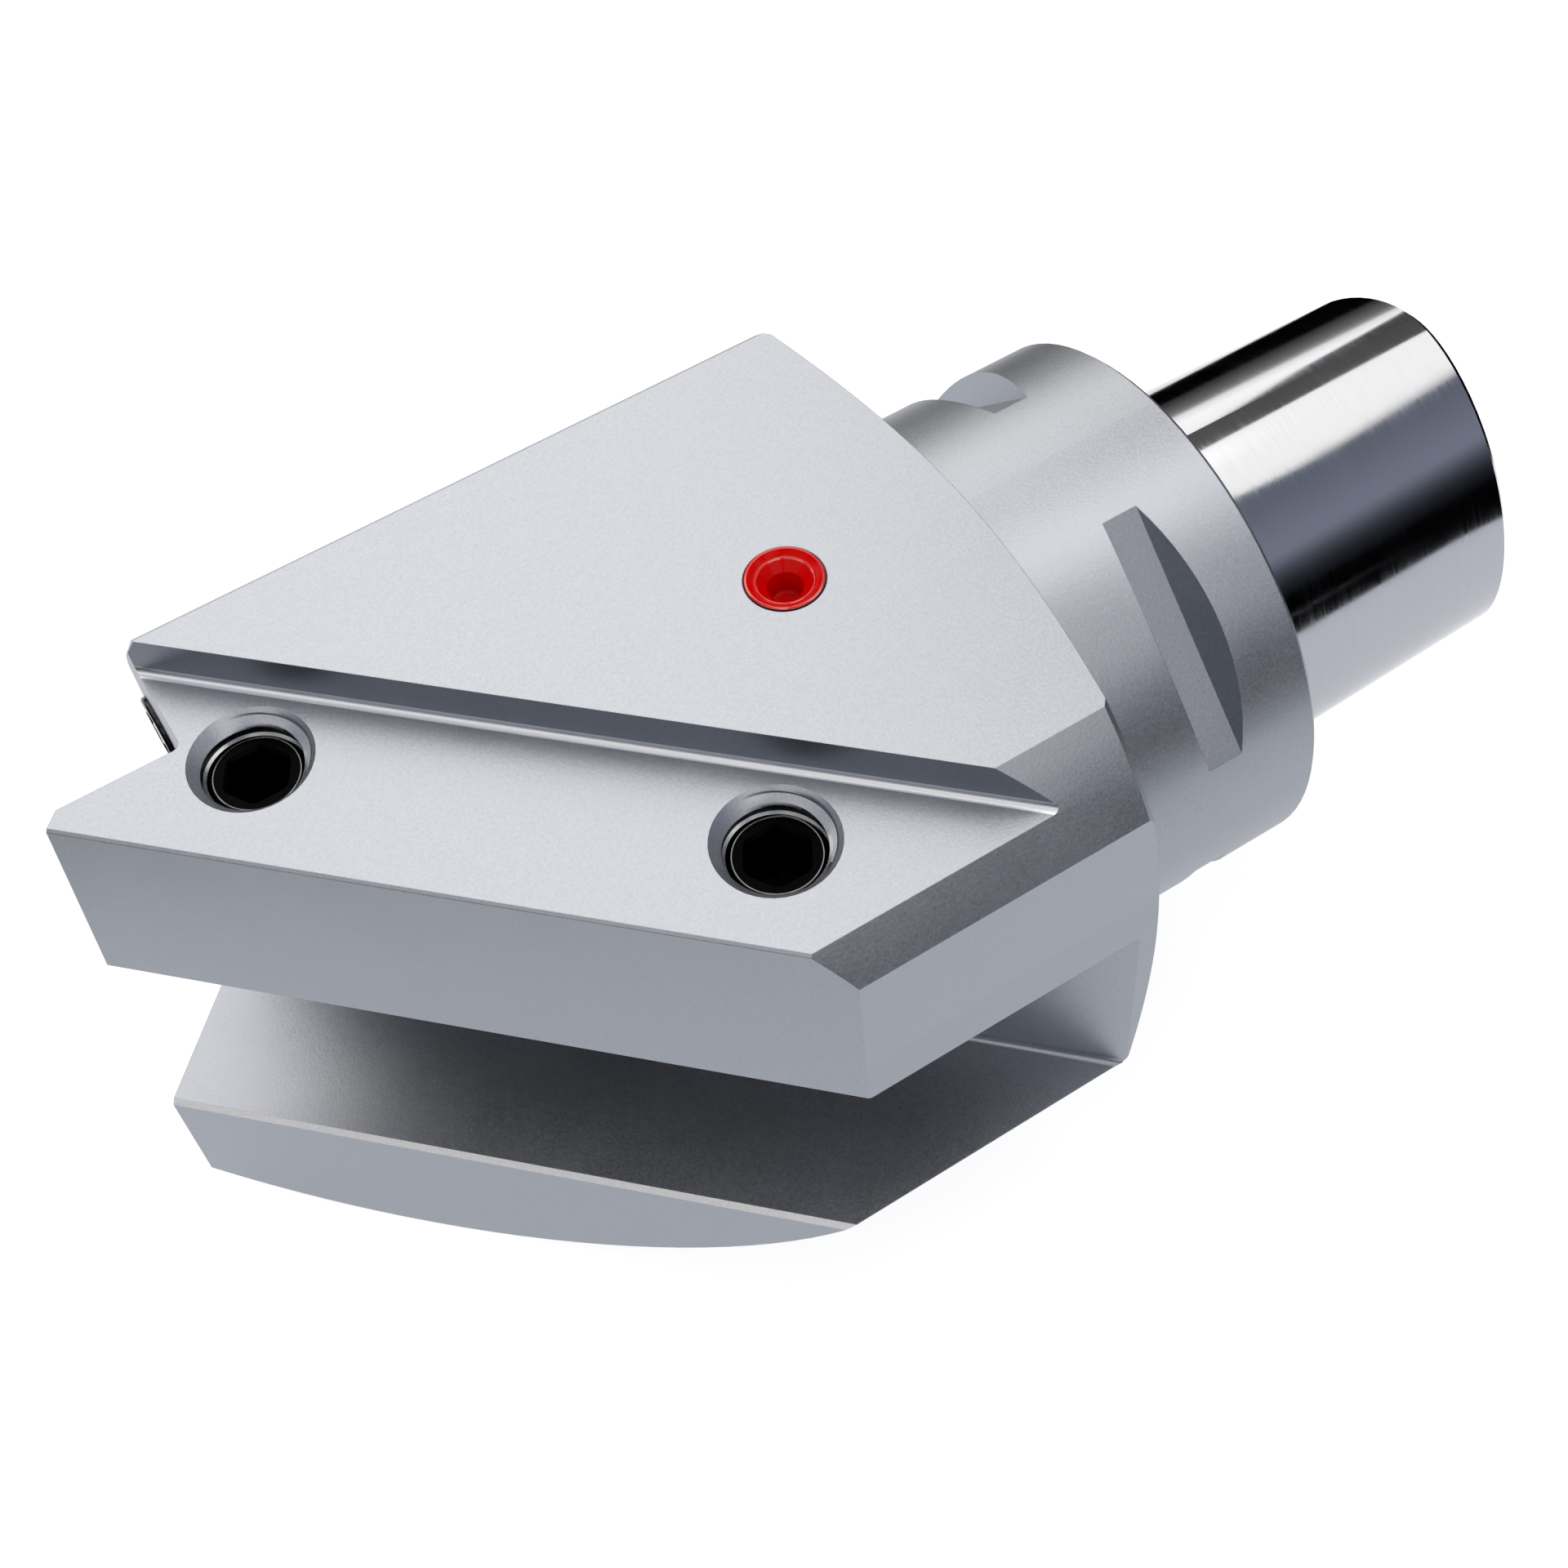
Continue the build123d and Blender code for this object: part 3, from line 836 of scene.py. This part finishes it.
def port_plug():
    """Push-in plug: rounded rim, dished flange, a raised lip round its funnel, and a deep cup."""
    shape = spun_shape(rounded(PLUG_CORNERS), 2 * math.pi, TURN_STEPS, True)
    bmesh.ops.recalc_face_normals(shape, faces=shape.faces)
    for face in shape.faces:
        place = face.calc_center_median()
        radius = math.hypot(place.x, place.y)
        on_edge = radius > PLUG_RIM_RADIUS or PLUG_LIP_INNER < radius < PLUG_LIP_OUTER
        face.material_index = int(on_edge and place.z > PLUG_EDGE_Z)
    sharpen(shape, PLUG_SHARP)
    bmesh.ops.translate(shape, verts=shape.verts, vec=axis_of("port_plug"))
    name = "port_plug_moulding"
    finishes = (RED, SHINY_RED)
    make_piece(
        name, shape_to_mesh(shape, name), finishes, "port_plug", ["port_plug"]
    )


port_plug()
paint("port_sealing_screw", OXIDE)
paint("nozzle_ring", BURNISHED)
paint("nozzle_ball", POLISHED)
paint("nozzle_seat", ACETAL)

# Camera at the photograph's viewing angle, with its lens and sensor width in millimetres
CAMERA_PLACE = Vector((-115.617, -133.099, 209.500)) * MM
CAMERA_RIGHT = Vector((0.846569, -0.527994, -0.067407))
CAMERA_BACK = Vector((-0.258833, -0.519007, 0.814639))
CAMERA_LENS = 52.843
CAMERA_SENSOR = 36.0
camera_data = bpy.data.cameras.new("camera")
camera_data.lens = CAMERA_LENS
camera_data.sensor_width = CAMERA_SENSOR
camera_data.clip_start = 10 * MM
camera = bpy.data.objects.new("camera", camera_data)
bpy.context.scene.collection.objects.link(camera)
camera_axes = Matrix((CAMERA_RIGHT, CAMERA_BACK.cross(CAMERA_RIGHT), CAMERA_BACK)).transposed()
camera.matrix_world = Matrix.Translation(CAMERA_PLACE) @ camera_axes.to_4x4()
bpy.context.scene.camera = camera

# Studio: a round sheet of pale paper, bright panels on a dome round the object, and a dim room.
# Three black cloths, which lie a little above the paper, show only in shiny metal.
PAPER_GLOW = 0.86
PAPER_RADIUS = 0.75
DOME_RADIUS = 0.9
DOME_STEPS = 48
PANEL_ROWS = 24
CLOTH_LIFT = 0.8 * MM
# Shares of red, green and blue: the lamps are warm and the room is cool
LAMP_COLOUR = (1.0, 0.95, 0.87)
ROOM_COLOUR = (0.91, 0.97, 1.17)


def set_ramp(node, stops, colour):
    """Gives a colour ramp its stops: position and level, of one colour."""
    elements = node.color_ramp.elements
    while len(elements) < len(stops):
        elements.new(0.5)
    for element, (position, level) in zip(elements, stops):
        element.position = position
        element.color = (*[level * share for share in colour], 1.0)


def swept_stage(name, profile, start, end, material):
    """A stage piece: a profile swept about Z from one azimuth to another, in degrees."""
    shape = spun_shape(profile, math.radians(end - start), DOME_STEPS, end - start == 360)
    turn_shape(shape, start, "Z")
    for face in shape.faces:
        face.smooth = True
    item = make_object(name, shape_to_mesh(shape, name), [material])
    return item


def paper_material():
    """Matt pale background paper, which the camera and shiny metal see as near white."""
    material, tree = start_material("matt_background_paper")
    path = add_node(tree, "ShaderNodeLightPath")
    glow = path.outputs["Is Camera Ray"]
    for ray in ("Is Glossy Ray", "Is Transmission Ray"):
        both = add_node(tree, "ShaderNodeMath", {0: glow, 1: path.outputs[ray]}, operation="ADD")
        glow = both.outputs[0]
    strength = add_node(tree, "ShaderNodeMath", {0: glow, 1: PAPER_GLOW}, operation="MULTIPLY")
    paper = add_node(tree, "ShaderNodeBsdfDiffuse", {"Color": srgb("#84868A")})
    light = add_node(tree, "ShaderNodeEmission", {"Strength": strength.outputs[0]})
    both = add_node(tree, "ShaderNodeAddShader", {0: paper.outputs[0], 1: light.outputs[0]})
    add_node(tree, "ShaderNodeOutputMaterial", {"Surface": both.outputs[0]})
    return material


def panel(name, start, end, levels):
    """A glowing panel on the dome between two azimuths, graded by stops of elevation and level."""
    material, tree = start_material("lamp_cloth_" + name)
    place = add_node(tree, "ShaderNodeTexCoord").outputs["Object"]
    height = add_node(tree, "ShaderNodeSeparateXYZ", {0: place}).outputs["Z"]
    share = add_node(
        tree,
        "ShaderNodeMapRange",
        {"Value": height, "From Min": -DOME_RADIUS, "From Max": DOME_RADIUS},
    )
    grade = add_node(tree, "ShaderNodeValToRGB", {0: share.outputs["Result"]})
    brightest = max(level for angle, level in levels)
    stops = [(0.5 + math.sin(math.radians(a)) / 2, level / brightest) for a, level in levels]
    set_ramp(grade, stops, LAMP_COLOUR)
    colour = grade.outputs["Color"]
    light = add_node(tree, "ShaderNodeEmission", {"Color": colour, "Strength": brightest})
    add_node(tree, "ShaderNodeOutputMaterial", {"Surface": light.outputs[0]})
    low, high = levels[0][0], levels[-1][0]
    profile = []
    for row in range(PANEL_ROWS + 1):
        angle = math.radians(low + (high - low) * row / PANEL_ROWS)
        profile.append(Vector((math.cos(angle), 0, math.sin(angle))) * DOME_RADIUS)
    item = swept_stage(name, profile, start, end, material)
    item.visible_camera = False


PAPER_LINE = [Vector((0, 0, FLOOR_Z)), Vector((PAPER_RADIUS, 0, FLOOR_Z))]
swept_stage("background_paper", PAPER_LINE, 0, 360, paper_material())
panel("key_panel", -42, 17, [(43, 1.2), (46, 2.4), (58, 2.4), (64, 3.4), (86, 3.4)])
REAR_LEVELS = [(-5, 0.0), (3, 0.12), (12, 0.3), (17, 0.6), (20, 1.9), (28, 2.5), (84, 2.5)]
panel("rear_panel", 48, 135, REAR_LEVELS)
panel("gap_panel", 18, 47, [(20, 0.1), (58, 0.2), (61, 3.2), (86, 3.2)])
panel("left_panel", -112, -62, [(25, 0.2), (33, 2.0), (60, 2.4)])
panel("front_panel", 165, 235, [(26, 1.7), (42, 1.7), (50, 0.8), (66, 0.8), (70, 2.8), (86, 2.8)])


def black_cloth_material():
    """Black velvet, which gives back no light."""
    material, tree = start_material("black_velvet_cloth")
    light = add_node(tree, "ShaderNodeEmission", {"Color": srgb("#000000"), "Strength": 0.0})
    add_node(tree, "ShaderNodeOutputMaterial", {"Surface": light.outputs[0]})
    return material


BLACK_CLOTH = black_cloth_material()


def floor_cloth(name, start, width, depth, azimuth):
    """Black cloth on the paper, from a distance along an azimuth: only shiny metal shows it."""
    shape = bmesh.new()
    bmesh.ops.create_grid(shape, x_segments=1, y_segments=1, size=0.5)
    bmesh.ops.scale(shape, verts=shape.verts, vec=(depth, width, 1))
    middle = (start + depth / 2, 0, FLOOR_Z + CLOTH_LIFT)
    bmesh.ops.translate(shape, verts=shape.verts, vec=middle)
    turn_shape(shape, azimuth, "Z")
    item = make_object(name, shape_to_mesh(shape, name), [BLACK_CLOTH])
    item.visible_camera = False
    item.visible_diffuse = False
    item.visible_shadow = False
    item.visible_transmission = False


floor_cloth("cloth_beyond_shank", 0.107, 1.4, 0.6, 16)
floor_cloth("cloth_at_side", 0.24, 1.2, 0.4, -84)
floor_cloth("cloth_in_front", 0.17, 0.8, 0.5, 207)

# Room: dark below and beside the paper, grey above, and white to the camera
world = bpy.data.worlds.new("studio")
bpy.context.scene.world = world
world.use_nodes = True
room = world.node_tree
room.nodes.clear()
room_way = add_node(room, "ShaderNodeTexCoord").outputs["Generated"]
room_height = add_node(room, "ShaderNodeSeparateXYZ", {0: room_way}).outputs["Z"]
room_grade = add_node(room, "ShaderNodeValToRGB", {0: room_height})
ROOM_STOPS = [
    (0.05, 0.0),
    (0.15, 0.04),
    (0.22, 0.14),
    (0.27, 0.3),
    (0.33, 0.46),
    (0.42, 0.43),
    (0.64, 0.3),
    (1.0, 0.4),
]
set_ramp(room_grade, ROOM_STOPS, ROOM_COLOUR)
room_seen = add_node(room, "ShaderNodeLightPath").outputs["Is Camera Ray"]
room_colour = add_node(
    room,
    "ShaderNodeMix",
    {0: room_seen, 6: room_grade.outputs["Color"], 7: srgb("#FFFFFF")},
    data_type="RGBA",
)
room_light = add_node(room, "ShaderNodeBackground", {"Color": room_colour.outputs[2]})
add_node(room, "ShaderNodeOutputWorld", {"Surface": room_light.outputs[0]})

bpy.context.scene.view_settings.view_transform = "Standard"
